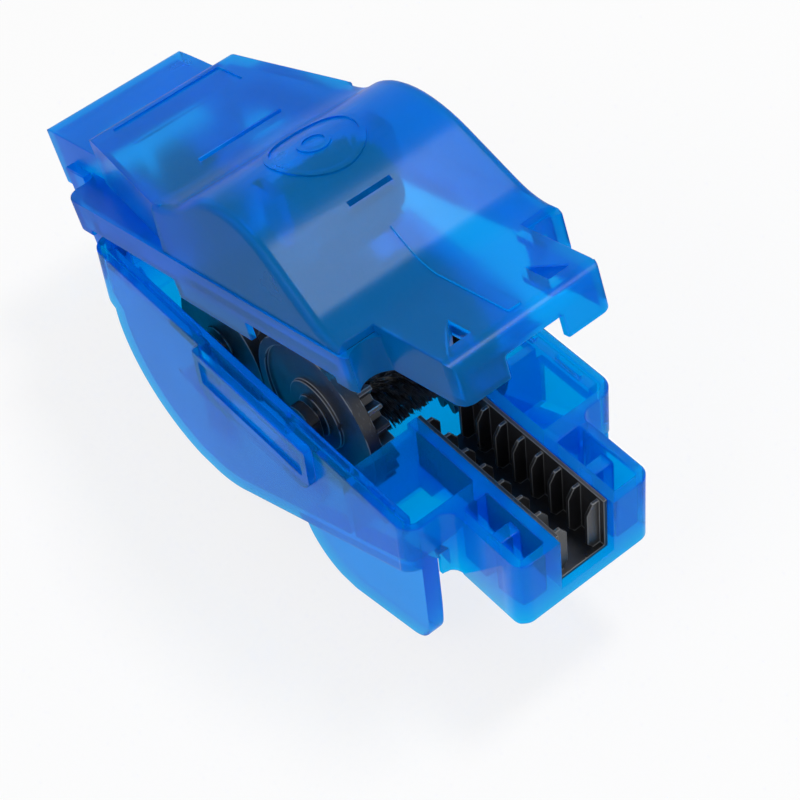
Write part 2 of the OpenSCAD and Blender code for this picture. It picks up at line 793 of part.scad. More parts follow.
// A nose of the lid from x0 to x1, with its far top edge rounded; dir is the way it points
module lid_nose(d, x0, x1, dir, z0, top) {
    r = lid_edge_r - d;
    far = dir > 0 ? x1 : x0;
    intersection() {
        translate([0, 0, z0]) linear_extrude(crest_z) lid_nose_plan(d);
        side_extrude(wide_w) difference() {
            translate([x0, z0]) square([x1 - x0, top - z0]);
            difference() {
                translate([dir > 0 ? far - r : far - cut, top - r]) square([r + cut, r + cut]);
                translate([far - dir * r, top - r]) circle(r);
            }
        }
    }
}

// The lid's tray, drawn in by d: wide sides up to the flange and the two noses
module tray(d) {
    z0 = d > 0 ? lid_z0 - cut : lid_z0;
    difference() {
        translate([0, 0, z0]) linear_extrude(tray_z - d - z0) {
            wide_plan(lid_inset + d);
            intersection() {
                nose_fillets(lid_inset + d, d + nose_w / 2 - lid_nose_w / 2);
                translate([tail_x, -wide_w]) square([body_l, 2 * wide_w]);
            }
        }
        for (s = [-1, 1]) translate([wide_x1 + scoop_out, s * scoop_y, 0])
            cylinder(r = scoop_r + d, h = crest_z);
    }
    if (d > 0) lid_nose(d, hump_x1 - wide_r, front_x - lid_front_in - d, 1, z0, roof_z - d - seam);
    else lid_nose(d, hump_x1, front_x - lid_front_in, 1, z0, roof_z);
    lid_nose(d, tail_x + d, deck_x0 + lid_edge_r, -1, z0, lid_tail_z - d);
}

// The lid's long sides end above the rim, and a tongue inside them covers the gap
module skirts() {
    for (s = [-1, 1])
        translate([wide_x0 + skirt_in, s > 0 ? wide_w / 2 - wall - tongue_gap : -wide_w / 2 - cut,
            lid_z0 - cut])
            cube([wide_x1 - wide_x0 - 2 * skirt_in, wall + tongue_gap + cut, skirt_h + cut - lid_gap]);
}

module tongues() {
    y1 = wide_w / 2 - wall - tongue_gap;
    z0 = rim_z - band_step + tongue_gap;
    for (s = [-1, 1]) {
        translate([wide_x0 + skirt_in, s > 0 ? y1 - tongue_t : -y1, z0])
            cube([wide_x1 - wide_x0 - 2 * skirt_in, tongue_t, rim_z + 2 * skirt_h - z0]);
        translate([wide_x0 + skirt_in, s > 0 ? y1 - tongue_t : -y1 - lid_wall, rim_z + skirt_h])
            cube([wide_x1 - wide_x0 - 2 * skirt_in, tongue_t + lid_wall, skirt_h]);
    }
}

// Tabs that drop into the housing's side slots
module tabs() {
    for (s = [-1, 1])
        translate([tab_x0, s > 0 ? wide_w / 2 - lid_inset - tab_t : lid_inset - wide_w / 2, rim_z - tab_drop])
            cube([tab_x1 - tab_x0, tab_t, tab_drop + tray_h / 2]);
}

// Ears that reach down to the hinge pins outside the rear nose, and the webs that join them to the lid
module ears() {
    inner = lid_nose_w / 2 - lid_wall;
    outer = ear_y + ear_t;
    for (s = [-1, 1]) {
        translate([0, s * (ear_y + ear_t / 2), 0]) side_extrude(ear_t) {
            translate([hinge_x, hinge_z]) circle(ear_r);
            translate([hinge_x - ear_r, hinge_z]) square([2 * ear_r, hinge_drop + ear_web]);
        }
        translate([hinge_x - ear_r, s > 0 ? inner : -outer, lid_z0])
            cube([2 * ear_r, outer - inner, ear_web - lid_gap]);
    }
}

// Plates under the hump that carry the lid's axle
module axle_plates() {
    foot_r = lid_axle_r + plate_foot;
    top = crest_z - lid_wall / 2;
    for (s = [-1, 1]) translate([0, s * (plate_y + plate_t / 2), 0]) side_extrude(plate_t) {
        translate([lid_axle_x, lid_axle_z]) circle(foot_r);
        translate([lid_axle_x - foot_r, lid_axle_z]) square([2 * foot_r, top - lid_axle_z]);
        translate([lid_axle_x - plate_w / 2, lid_axle_z + foot_r])
            square([plate_w, top - lid_axle_z - foot_r]);
    }
}

// Two low rings that follow the crest
module crest_rings() {
    intersection() {
        hump(-ring_h);
        for (r = [ring_r, small_ring_r]) translate([ring_x, 0, crest_z - ring_deep]) difference() {
            cylinder(r = r, h = ring_deep + cut);
            translate([0, 0, -cut]) cylinder(r = r - ring_t, h = ring_deep + 3 * cut);
        }
    }
}

// The crease down the flank and along the nose
module keel() {
    intersection() {
        hump(-keel_h);
        translate([keel_x0, -keel_w / 2, tray_z]) cube([hump_x1 - keel_x0, keel_w, crest_h]);
    }
    translate([hump_x1 - cut, -keel_w / 2, roof_z - keel_h])
        cube([front_x - lid_front_in - lid_edge_r - hump_x1 + cut, keel_w, 2 * keel_h]);
}

// Three-cornered windows in the top of the front nose, grown by d
module window_plans(d) {
    for (s = [-1, 1]) translate([front_x - nose_l / 2 + window_out,
        s * (nose_w / 4 + window_w / 2 + window_out)]) offset(r = d)
        polygon([[-window_l / 2, -s * window_w / 2], [window_l / 2, -s * window_w / 2],
            [window_l / 2, s * window_w / 2]]);
}

// The walls round the windows under the roof
module window_collars() {
    translate([0, 0, roof_z - collar_h]) linear_extrude(collar_h - lid_wall / 2) window_plans(collar_t);
}

// The sunk label panel on the deck
module label_panel() {
    half = deck_y0 - label_side;
    translate([deck_x0 + lid_edge_r + label_in, -half, deck_z - label_sink])
        cube([label_l, 2 * half, crest_h]);
}

module lid_cuts() {
    label_panel();
    // Bar slot at the hump's foot and vent in its front flank
    translate([bar_x, -bar_y, deck_z - 2 * lid_wall]) cube([bar_w, 2 * bar_y, crest_h]);
    translate([vent_x, -vent_y, roof_z]) cube([vent_w, 2 * vent_y, crest_h]);
    translate([0, 0, lid_z0]) linear_extrude(roof_h + cut) window_plans(0);
    // Arch for the chain in both end walls
    for (x = [front_x - nose_l / 2, tail_x - nose_l / 2])
        translate([x, -arch_w / 2, lid_z0 - cut]) cube([nose_l, arch_w, arch_h + cut]);
    on_axle(lid_axle_x, lid_axle_z)
        cylinder(r = lid_axle_r + seat_gap, h = 2 * (plate_y + plate_t + cut), center = true);
    on_axle(hinge_x, hinge_z) cylinder(r = pin_r + run_gap, h = wide_w + cut, center = true);
}

module lid_closed() {
    difference() {
        union() {
            difference() {
                union() {
                    tray(0);
                    hump(0);
                    deck(0, deck_z);
                    crest_rings();
                    keel();
                }
                tray(lid_wall);
                hump(lid_wall);
                deck(lid_wall, deck_z - lid_wall - seam);
                skirts();
            }
            tongues();
            tabs();
            ears();
            axle_plates();
            window_collars();
        }
        lid_cuts();
    }
}

module lid_shell() color(lid_blue) on_lid() lid_closed();
module lid_axle() color(steel) on_lid() on_axle(lid_axle_x, lid_axle_z)
    cylinder(r = lid_axle_r, h = 2 * (plate_y + plate_t), center = true);
module lid_brush_hub() color(black) on_lid() on_axle(lid_axle_x, lid_axle_z)
    tube_along(lid_hub_r, lid_axle_r + run_gap, 2 * (lid_brush_y + lid_disc_t));
module lid_disc(s) {
    on_lid() on_axle(lid_axle_x, lid_axle_z) translate([0, 0, -s * (lid_brush_y + lid_disc_t / 2)])
        tube_along(lid_disc_r, lid_hub_r + seat_gap, lid_disc_t);
}
module near_lid_disc() color(black) lid_disc(-1);
module far_lid_disc() color(black) lid_disc(1);
module lid_bristles() color(black) on_lid() on_axle(lid_axle_x, lid_axle_z)
    brush(lid_hub_r, lid_brush_r, lid_brush_y, lid_tufts);

base_shell();
front_comb();
rear_comb();
hinge_pins();
front_bearings();
rear_bearings();
front_axle();
rear_axle();
drive_hub();
near_drive_gear();
far_drive_gear();
drive_bristles();
rear_hub();
near_rear_gear();
far_rear_gear();
rear_bristles();
lid_shell();
lid_axle();
lid_brush_hub();
near_lid_disc();
far_lid_disc();
lid_bristles();
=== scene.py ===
"""Looks of a hand-held bike chain cleaner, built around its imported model."""

import json
import math

import bmesh
import bpy
from bpy.props import FloatProperty, FloatVectorProperty, IntProperty, PointerProperty
from mathutils import Matrix, Vector
from mathutils.bvhtree import BVHTree

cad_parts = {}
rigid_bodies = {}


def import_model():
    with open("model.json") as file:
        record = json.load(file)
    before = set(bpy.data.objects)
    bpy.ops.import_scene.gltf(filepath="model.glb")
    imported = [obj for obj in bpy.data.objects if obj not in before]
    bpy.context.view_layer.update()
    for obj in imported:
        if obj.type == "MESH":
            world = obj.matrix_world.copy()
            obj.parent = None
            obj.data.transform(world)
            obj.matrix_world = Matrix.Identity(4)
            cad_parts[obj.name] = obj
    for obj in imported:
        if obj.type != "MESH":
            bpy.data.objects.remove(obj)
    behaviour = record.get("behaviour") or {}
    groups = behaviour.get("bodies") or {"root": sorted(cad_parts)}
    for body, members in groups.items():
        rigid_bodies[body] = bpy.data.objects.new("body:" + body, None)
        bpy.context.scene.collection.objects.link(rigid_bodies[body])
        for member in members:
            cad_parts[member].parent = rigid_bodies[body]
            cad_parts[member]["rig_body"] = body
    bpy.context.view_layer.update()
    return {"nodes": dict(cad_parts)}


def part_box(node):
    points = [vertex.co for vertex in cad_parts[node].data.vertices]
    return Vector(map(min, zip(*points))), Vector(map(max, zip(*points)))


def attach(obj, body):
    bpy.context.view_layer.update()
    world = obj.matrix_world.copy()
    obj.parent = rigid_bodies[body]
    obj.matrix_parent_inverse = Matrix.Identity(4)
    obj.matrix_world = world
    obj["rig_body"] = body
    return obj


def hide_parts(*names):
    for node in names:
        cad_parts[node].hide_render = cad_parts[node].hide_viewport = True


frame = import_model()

bl_info = {
    "name": "Bike chain cleaner",
    "version": (1, 0, 0),
    "blender": (4, 5, 0),
    "location": "View3D > Sidebar > Chain cleaner",
    "description": "Builds the shells, combs, wheels, brushes and axles of a chain cleaner",
    "category": "Object",
}

MM = 0.001

# How far apart nodes are laid in an editor.
NODE_STEP_X = 190
NODE_STEP_Y = 170

# The camera that the photo's edges gave: the picture's side and the focal length, in pixels.
# The sensor's width only turns the second into millimetres.
PHOTO_SIDE = 800
PHOTO_FOCAL = 2358.62
SENSOR_MM = 36.0

# How a CAD skin gets its rounded edges. Room, stray and reach are in widths of the rounding.
MERGE_DISTANCE = 0.000001  # closer corners are one
FLAT_ANGLE = math.radians(0.4)  # triangles that meet flatter are one face
SHARP_ANGLE = math.radians(34)  # sharper edges are rounded
CREASE_ANGLE = math.radians(55)  # sharper edges stay creases in the shading
ROOM_SHARE = 2.2  # how deep a face is beside an edge that is rounded
INSET = 0.00001  # where the look for that depth starts
STRAY_SHARE = 0.6  # how far a corner may lie off the CAD skin
STRAY_REACH = 4  # how far round a strayed corner edges stay sharp
FOLD_REACH = 3  # and round a fold
FOLD_COSINE = 0.5  # a triangle turned further from its face is a fold
SLIVER_AREA = 1e-12  # smaller triangles can't be judged
REPAIR_ROUNDS = 4
EDGE_SEGMENTS = 2
FACE_WEIGHT = 60  # how much large faces count in the normals

# The stage, in metres.
FLOOR_HALF = 3.0
FLOOR_DROP = 0.0002
OVERHEAD_LAMP = (0.1, 0.26, 0.78)
OVERHEAD_SIZE = 0.16
CAMERA_LAMP = (0.1, -0.6, 0.55)
CAMERA_LAMP_SIZE = 0.4

# A brush's sleeve and tufts: its play on the hub, and shares of the sleeve's wall.
SLEEVE_PLAY = 0.0001
SLEEVE_SIDES = 48
NIB_SHARE = 0.25
ROOT_SHARE = 0.6

# Nodes that share a finish and a rounding.
WHEEL_NODES = ("near_drive_gear", "far_drive_gear", "near_rear_gear", "far_rear_gear",
               "drive_hub", "rear_hub", "lid_brush_hub", "near_lid_disc", "far_lid_disc",
               "front_bearings", "rear_bearings")
STEEL_NODES = ("front_axle", "rear_axle", "lid_axle", "hinge_pins")

# Each brush: its piece, node and axle, tuft rows, sleeve's and tips' radius, and seed.
BRUSHES = (
    ("drive_tufts", "drive_bristles", "front_axle", 14, 5.0 * MM, 11.8 * MM, 11),
    ("rear_tufts", "rear_bristles", "rear_axle", 18, 5.0 * MM, 17.5 * MM, 22),
    ("lid_tufts", "lid_bristles", "lid_axle", 14, 4.0 * MM, 10.6 * MM, 33),
)


# ---- node helpers --------------------------------------------------------------------------------


def place(tree, kind, x, y, **settings):
    """A new node at x, y with its plain settings."""
    made = tree.nodes.new(kind)
    made.location = (x * NODE_STEP_X, y * NODE_STEP_Y)
    for name, value in settings.items():
        setattr(made, name, value)
    return made


def feed(tree, target, source):
    """Links a node's output, or writes a plain value, to an input."""
    if isinstance(source, bpy.types.NodeSocket):
        tree.links.new(source, target)
    elif source is not None:
        target.default_value = source


def reckon(tree, operation, a, b=None, x=0, y=0, clamp=False, c=None):
    """One math node on a, b and c, by its output."""
    made = place(tree, "ShaderNodeMath", x, y, operation=operation, use_clamp=clamp)
    for socket, given in zip(made.inputs, (a, b, c)):
        feed(tree, socket, given)
    return made.outputs[0]


def set_inputs(node, values):
    """Writes plain values to a node's inputs by their names."""
    for name, value in values.items():
        node.inputs[name].default_value = value


def vector_of(tree, operation, a, b=None, scale=None, x=0, y=0):
    """One vector math node, by its vector output, or its value for a length."""
    made = place(tree, "ShaderNodeVectorMath", x, y, operation=operation)
    feed(tree, made.inputs[0], a)
    feed(tree, made.inputs[1], b)
    if scale is not None:
        feed(tree, made.inputs["Scale"], scale)
    return made.outputs["Value"] if operation == "LENGTH" else made.outputs["Vector"]


def noise(tree, vector, scale, detail=2.0, x=0, y=0):
    """A noise texture's value."""
    made = place(tree, "ShaderNodeTexNoise", x, y)
    feed(tree, made.inputs["Vector"], vector)
    feed(tree, made.inputs["Scale"], scale)
    made.inputs["Detail"].default_value = detail
    return made.outputs["Fac"]


def remap(tree, value, low, high, to_low, to_high, x=0, y=0):
    """value's range low to high, stretched to to_low to to_high and held there."""
    made = place(tree, "ShaderNodeMapRange", x, y)
    for socket, given in zip(made.inputs, (value, low, high, to_low, to_high)):
        feed(tree, socket, given)
    return made.outputs["Result"]


def blend_colours(tree, share, first, second, x=0, y=0):
    """first to second colour by share."""
    made = place(tree, "ShaderNodeMix", x, y, data_type="RGBA")
    feed(tree, made.inputs["Factor"], share)
    for name, given in (("A", first), ("B", second)):
        socket = [s for s in made.inputs if s.name == name and s.type == "RGBA"][0]
        linked = isinstance(given, bpy.types.NodeSocket)
        feed(tree, socket, given if linked else (*given[:3], 1))
    return [s for s in made.outputs if s.type == "RGBA"][0]


def new_group(name, inputs, outputs, kind="ShaderNodeTree"):
    """An empty node group with named sockets: (name, socket type, default)."""
    tree = bpy.data.node_groups.new(name, kind)
    for label, socket, default in inputs:
        made = tree.interface.new_socket(label, in_out="INPUT", socket_type=socket)
        if default is not None:
            made.default_value = default
    for label, socket in outputs:
        tree.interface.new_socket(label, in_out="OUTPUT", socket_type=socket)
    return tree, place(tree, "NodeGroupInput", -6, 0), place(tree, "NodeGroupOutput", 6, 0)


# ---- shared shader groups ------------------------------------------------------------------------


def moulded_surface():
    """Flow clouds, fine grain and rubbed specks of an injection-moulded surface."""
    found = bpy.data.node_groups.get("Moulded surface")
    if found:
        return found
    tree, source, sink = new_group(
        "Moulded surface",
        [("Cloud Scale", "NodeSocketFloat", 60.0), ("Grain Scale", "NodeSocketFloat", 2500.0),
         ("Speck Scale", "NodeSocketFloat", 700.0)],
        [("Cloud", "NodeSocketFloat"), ("Grain", "NodeSocketFloat"),
         ("Speck", "NodeSocketFloat")],
    )
    here = place(tree, "ShaderNodeTexCoord", -5, -1).outputs["Object"]
    cloud = noise(tree, here, source.outputs["Cloud Scale"], 3.0, -3, 1)
    grain = noise(tree, here, source.outputs["Grain Scale"], 2.0, -3, 0)
    speck = noise(tree, here, source.outputs["Speck Scale"], 4.0, -3, -1)
    tree.links.new(remap(tree, cloud, 0.3, 0.7, 0.0, 1.0, 0, 1), sink.inputs["Cloud"])
    tree.links.new(grain, sink.inputs["Grain"])
    tree.links.new(remap(tree, speck, 0.62, 0.74, 0.0, 1.0, 0, -1), sink.inputs["Speck"])
    return tree


def fine_scratches():
    """Thin rubbed lines that run mostly one way, as a mask."""
    found = bpy.data.node_groups.get("Fine scratches")
    if found:
        return found
    tree, source, sink = new_group(
        "Fine scratches",
        [("Scale", "NodeSocketFloat", 90.0), ("Along", "NodeSocketVector", (1.0, 14.0, 9.0)),
         ("Amount", "NodeSocketFloat", 0.5)],
        [("Mask", "NodeSocketFloat")],
    )
    here = place(tree, "ShaderNodeTexCoord", -5, -1).outputs["Object"]
    stretched = vector_of(tree, "MULTIPLY", here, source.outputs["Along"], x=-4, y=0)
    lines = noise(tree, stretched, source.outputs["Scale"], 5.0, -2, 0)
    patch = noise(tree, here, 35.0, 1.0, -2, -1)
    rubbed = reckon(tree, "MULTIPLY", remap(tree, lines, 0.6, 0.68, 0.0, 1.0, 0, 0),
                    remap(tree, patch, 0.4, 0.65, 0.0, 1.0, 0, -1), 2, 0)
    tree.links.new(reckon(tree, "MULTIPLY", rubbed, source.outputs["Amount"], 4, 0, True),
                   sink.inputs["Mask"])
    return tree


def use_group(tree, group, x, y, **values):
    """A shader group placed in a material with its own values."""
    made = place(tree, "ShaderNodeGroup", x, y, node_tree=group)
    set_inputs(made, {name.replace("_", " "): value for name, value in values.items()})
    return made


def new_material(name):
    """A material with an empty Principled surface: (material, tree, shader)."""
    made = bpy.data.materials.new(name)
    made.use_nodes = True
    tree = made.node_tree
    tree.nodes.clear()
    shader = place(tree, "ShaderNodeBsdfPrincipled", 6, 0)
    sink = place(tree, "ShaderNodeOutputMaterial", 8, 0)
    tree.links.new(shader.outputs["BSDF"], sink.inputs["Surface"])
    return made, tree, shader


def bump_into(tree, shader, height, strength, distance):
    """Feeds a height to the shader's normal."""
    bump = place(tree, "ShaderNodeBump", 4, -3)
    set_inputs(bump, {"Strength": strength, "Distance": distance})
    tree.links.new(height, bump.inputs["Height"])
    tree.links.new(bump.outputs["Normal"], shader.inputs["Normal"])


# ---- finishes ------------------------------------------------------------------------------------


def clear_blue(name, body, edge, clearness, frost):
    """Tinted clear plastic: deeper where the light's way through it is long, with painted edge
    shading in another blue along its rounded edges, and faint flow clouds and handling marks."""
    made, tree, shader = new_material(name)
    surface = use_group(tree, moulded_surface(), -5, 0, Cloud_Scale=45.0, Grain_Scale=1600.0)
    marks = use_group(tree, fine_scratches(), -5, -2, Scale=60.0, Amount=0.3)
    edges = place(tree, "ShaderNodeAttribute", -5, 2, attribute_name="rounded")
    cloud_share = reckon(tree, "MULTIPLY", surface.outputs["Cloud"], 0.35, -3, 1)
    clouded = blend_colours(tree, cloud_share, body, [c * 0.72 for c in body], -2, 1)
    # Painted edge shading: the rounded edges take the edge blue.
    painted_edge_share = reckon(tree, "MULTIPLY", edges.outputs["Fac"], 0.75, -3, 2)
    lit = blend_colours(tree, painted_edge_share, clouded, edge, 0, 1)
    tree.links.new(lit, shader.inputs["Base Color"])
    rough = remap(tree, surface.outputs["Cloud"], 0.0, 1.0, frost, frost + 0.06, -3, 0)
    rubbed = reckon(tree, "MULTIPLY", marks.outputs["Mask"], 0.2, -3, -1)
    rough = reckon(tree, "ADD", rough, rubbed, 0, 0, True)
    tree.links.new(rough, shader.inputs["Roughness"])
    bump_into(tree, shader, surface.outputs["Cloud"], 0.12, 0.0004)
    # The index is below real plastic's, so that the thin walls show what is behind them.
    set_inputs(shader, {"Transmission Weight": clearness, "IOR": 1.08,
                        "Coat Weight": 0.1, "Coat Roughness": 0.25})
    depth = place(tree, "ShaderNodeVolumeAbsorption", 6, -3)
    set_inputs(depth, {"Color": (0.0, 0.86, 0.99, 1), "Density": 500.0})
    tree.links.new(depth.outputs["Volume"], tree.get_output_node("ALL").inputs["Volume"])
    return made


def black_moulding(name, body, rough_low, rough_high, edge_light):
    """Satin black plastic with a fine grain, a painted highlight that makes its rounded edges
    paler, paler rubbed scratches and specks of dry residue.
    """
    made, tree, shader = new_material(name)
    surface = use_group(tree, moulded_surface(), -5, 0, Cloud_Scale=90.0, Grain_Scale=3200.0)
    marks = use_group(tree, fine_scratches(), -5, -2, Scale=120.0, Amount=0.8)
    edges = place(tree, "ShaderNodeAttribute", -5, 2, attribute_name="rounded")
    cloud_share = reckon(tree, "MULTIPLY", surface.outputs["Cloud"], 0.5, -3, 1)
    greyed = blend_colours(
        tree, cloud_share, body, [min(1.0, c * 1.7 + 0.006) for c in body], -2, 1)
    # Paler rounded edges are a painted highlight, as strong as edge_light.
    painted_edge_share = reckon(tree, "MULTIPLY", edges.outputs["Fac"], edge_light, -3, 2)
    mark_share = reckon(tree, "MULTIPLY", marks.outputs["Mask"], 0.2, -3, 3)
    # This sum holds the painted edge highlight and the real rubbed scratches together.
    rubbed = reckon(tree, "ADD", painted_edge_share, mark_share, -1, 2, True)
    highlit_and_worn = blend_colours(tree, rubbed, greyed, (0.2, 0.21, 0.22), 0, 1)
    tree.links.new(highlit_and_worn, shader.inputs["Base Color"])
    rough = remap(tree, surface.outputs["Cloud"], 0.0, 1.0, rough_low, rough_high, -1, 0)
    residue = reckon(tree, "MULTIPLY", surface.outputs["Speck"], 0.15, -1, -1)
    rough = reckon(tree, "ADD", rough, residue, 1, 0, True)
    tree.links.new(rough, shader.inputs["Roughness"])
    bump_into(tree, shader, surface.outputs["Grain"], 0.25, 0.00012)
    set_inputs(shader, {"Specular IOR Level": 0.55})
    return made


def nylon(name, root, tip):
    """Bristle nylon, dark at the root and paler and rougher at the cut tip."""
    made, tree, shader = new_material(name)
    along = place(tree, "ShaderNodeAttribute", -5, 1, attribute_name="along")
    shade = place(tree, "ShaderNodeAttribute", -5, 0, attribute_name="shade")
    tips = remap(tree, along.outputs["Fac"], 0.55, 1.0, 0.0, 1.0, -3, 1)
    base = blend_colours(tree, tips, root, tip, -1, 1)
    shade_share = reckon(tree, "MULTIPLY", shade.outputs["Fac"], 0.5, -3, 0)
    varied = blend_colours(tree, shade_share, base, [c * 0.4 for c in tip], 1, 1)
    tree.links.new(varied, shader.inputs["Base Color"])
    rough = remap(tree, along.outputs["Fac"], 0.0, 1.0, 0.3, 0.5, 1, 0)
    tree.links.new(rough, shader.inputs["Roughness"])
    set_inputs(shader, {"Sheen Weight": 0.15, "Sheen Roughness": 0.4})
    return made


def turned_steel(name, body):
    """Steel pin: fine rings from turning and faint stains."""
    made, tree, shader = new_material(name)
    surface = use_group(tree, moulded_surface(), -5, 0, Cloud_Scale=260.0, Grain_Scale=4000.0)
    marks = use_group(tree, fine_scratches(), -5, -2,
                      Scale=260.0, Along=(14.0, 1.0, 14.0), Amount=0.7)
    cloud_share = reckon(tree, "MULTIPLY", surface.outputs["Cloud"], 0.45, -3, 1)
    stain = (body[0] * 0.55, body[1] * 0.52, body[2] * 0.5)
    stained = blend_colours(tree, cloud_share, body, stain, -1, 1)
    tree.links.new(stained, shader.inputs["Base Color"])
    rough = remap(tree, surface.outputs["Cloud"], 0.0, 1.0, 0.22, 0.4, -1, 0)
    tree.links.new(rough, shader.inputs["Roughness"])
    set_inputs(shader, {"Metallic": 1.0})
    bump_into(tree, shader, marks.outputs["Mask"], 0.3, 0.00008)
    return made


def finish_of(name):
    """A finish by its name, made the first time it is asked for."""
    found = bpy.data.materials.get(name)
    if found:
        return found
    look = bpy.context.scene.cleaner_finish
    if name == "Clear blue housing":
        return clear_blue(
            name, look.housing_blue, look.painted_edge_blue, look.clearness, look.housing_frost)
    if name == "Clear blue lid":
        return clear_blue(name, look.lid_blue, look.painted_edge_blue, look.clearness, look.lid_frost)
    # The last number is the strength of the painted highlight on the rounded edges.
    if name == "Satin black moulding":
        return black_moulding(name, look.black, 0.3, 0.45, 0.8)
    if name == "Black comb moulding":
        return black_moulding(name, look.black, 0.24, 0.38, 0.5)
    if name == "Bristle nylon":
        return nylon(name, look.bristle_root, look.bristle_tip)
    if name == "Turned steel":
        return turned_steel(name, look.steel)
    raise ValueError(f"no finish is called {name}")


# ---- meshes --------------------------------------------------------------------------------------


def link_new(name, mesh):
    """A new object at the origin that shows mesh."""
    made = bpy.data.objects.new(name, mesh)
    bpy.context.scene.collection.objects.link(made)
    return made


def bake(piece):
    """Turns a piece's modifiers into its plain mesh."""
    bpy.context.view_layer.update()
    held = piece.evaluated_get(bpy.context.evaluated_depsgraph_get())
    mesh = bpy.data.meshes.new_from_object(held)
    piece.modifiers.clear()
    old, piece.data = piece.data, mesh
    bpy.data.meshes.remove(old)
    mesh.name = piece.name
    return piece


def joined_triangles(node):
    """A CAD node's triangles, merged into one closed mesh with its flat faces whole."""
    bm = bmesh.new()
    bm.from_mesh(frame["nodes"][node].data)
    bmesh.ops.remove_doubles(bm, verts=bm.verts, dist=MERGE_DISTANCE)
    bmesh.ops.dissolve_limit(bm, angle_limit=FLAT_ANGLE, verts=bm.verts, edges=bm.edges)
    mesh = bpy.data.meshes.new(node)
    corners = [v.co.copy() for v in bm.verts]
    bm.verts.index_update()
    faces = [[v.index for v in f.verts] for f in bm.faces]
    bm.free()
    mesh.from_pydata(corners, [], faces)
    return mesh


def has_room(face, edge, reach):
    """Whether face stays whole for reach inwards from three places along edge."""
    a, b = (v.co for v in edge.verts)
    loop = [l for l in face.loops if l.edge == edge][0]
    inward = face.normal.cross(loop.link_loop_next.vert.co - loop.vert.co).normalized()
    if len(face.verts) < 5 and inward.dot(face.calc_center_median() - a) < 0:
        inward = -inward
    others = [(e.verts[0].co, e.verts[1].co) for e in face.edges if e != edge]
    for share in (0.1, 0.5, 0.9):
        start = a.lerp(b, share) + inward * INSET
        stop = start + inward * reach
        for c, d in others:
            if crosses(start, stop, c, d, face.normal):
                return False
    return True


def crosses(a, b, c, d, up):
    """Whether the lines ab and cd cross, seen along up."""
    def side(p, q, r):
        return (q - p).cross(r - p).dot(up)
    return side(a, b, c) * side(a, b, d) < 0 and side(c, d, a) * side(c, d, b) < 0


def off_line(point, a, b):
    """How far point is from the line from a to b."""
    run = b - a
    return (a + run * min(1, max(0, (point - a).dot(run) / run.length_squared)) - point).length


def mark_edges(mesh, width, spoiled):
    """Weights the mesh's sharp edges that have room to be rounded, off the spoiled places."""
    bm = bmesh.new()
    bm.from_mesh(mesh)
    layer = bm.edges.layers.float.new("bevel_weight_edge")
    for edge in bm.edges:
        if len(edge.link_faces) != 2 or edge.calc_face_angle(0.0) < SHARP_ANGLE:
            continue
        a, b = (v.co for v in edge.verts)
        if any(off_line(point, a, b) < reach for point, reach in spoiled):
            continue
        if all(has_room(face, edge, ROOM_SHARE * width) for face in edge.link_faces):
            edge[layer] = 1.0
    bm.to_mesh(mesh)
    bm.free()


def folded_places(mesh, skin, width):
    """Points where the rounded skin folds over itself or leaves the CAD skin, each with how far
    the fault reaches."""
    found = []
    mesh.calc_loop_triangles()
    for face in mesh.loop_triangles:
        if face.area < SLIVER_AREA:
            continue
        whole = mesh.polygons[face.polygon_index]
        if face.normal.dot(whole.normal) < FOLD_COSINE:
            corners = [mesh.vertices[v].co.copy() for v in face.vertices]
            found += [(corner, FOLD_REACH * width) for corner in corners]
    for corner in mesh.vertices:
        if skin.find_nearest(corner.co)[3] > STRAY_SHARE * width:
            found.append((corner.co.copy(), STRAY_REACH * width))
    return found


def rounded_copy(node, name, width, spoiled):
    """A copy of a CAD node with its roomy sharp edges rounded, and the CAD skin as it was."""
    piece = link_new(name, joined_triangles(node))
    mesh = piece.data
    skin = BVHTree.FromPolygons([v.co.copy() for v in mesh.vertices],
                                [tuple(f.vertices) for f in mesh.polygons])
    mark_edges(mesh, width, spoiled)
    # The second, empty slot tells the rounding's own faces from the rest.
    mesh.materials.append(None)
    mesh.materials.append(None)
    rounding = piece.modifiers.new("Rounded edges", "BEVEL")
    rounding.width = width
    rounding.segments = EDGE_SEGMENTS
    rounding.limit_method = "WEIGHT"
    rounding.use_clamp_overlap = False
    rounding.material = 1
    rounding.miter_outer = "MITER_ARC"
    return bake(piece), skin


def moulded(node, name, width, finish):
    """Stands for a CAD node as a copy with its sharp edges rounded, as they leave the mould.

    Edges near a fault of the rounding stay sharp in the next round. What still strays after the
    last round goes back to the CAD skin."""
    spoiled = []
    piece, skin = rounded_copy(node, name, width, spoiled)
    for _ in range(REPAIR_ROUNDS):
        found = folded_places(piece.data, skin, width)
        if not found:
            break
        spoiled += found
        bpy.data.objects.remove(piece)
        piece, skin = rounded_copy(node, name, width, spoiled)
    mesh = piece.data
    for corner in mesh.vertices:
        near, _, _, off = skin.find_nearest(corner.co)
        if off > STRAY_SHARE * width:
            corner.co = near
    rounded = [float(f.material_index == 1) for f in mesh.polygons]
    mesh.attributes.new("rounded", "FLOAT", "FACE").data.foreach_set("value", rounded)
    mesh.polygons.foreach_set("material_index", [0] * len(rounded))
    mesh.polygons.foreach_set("use_smooth", [True] * len(rounded))
    mesh.set_sharp_from_angle(angle=CREASE_ANGLE)
    weighted = piece.modifiers.new("Flat faces stay flat", "WEIGHTED_NORMAL")
    weighted.keep_sharp = True
    weighted.weight = FACE_WEIGHT
    bake(piece)
    piece.data.materials.clear()
    piece.data.materials.append(finish_of(finish))
    return stand_for(piece, node)


def stand_for(piece, node):
    """piece rides on the node's body and takes its place."""
    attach(piece, frame["nodes"][node]["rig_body"])
    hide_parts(node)
    return piece


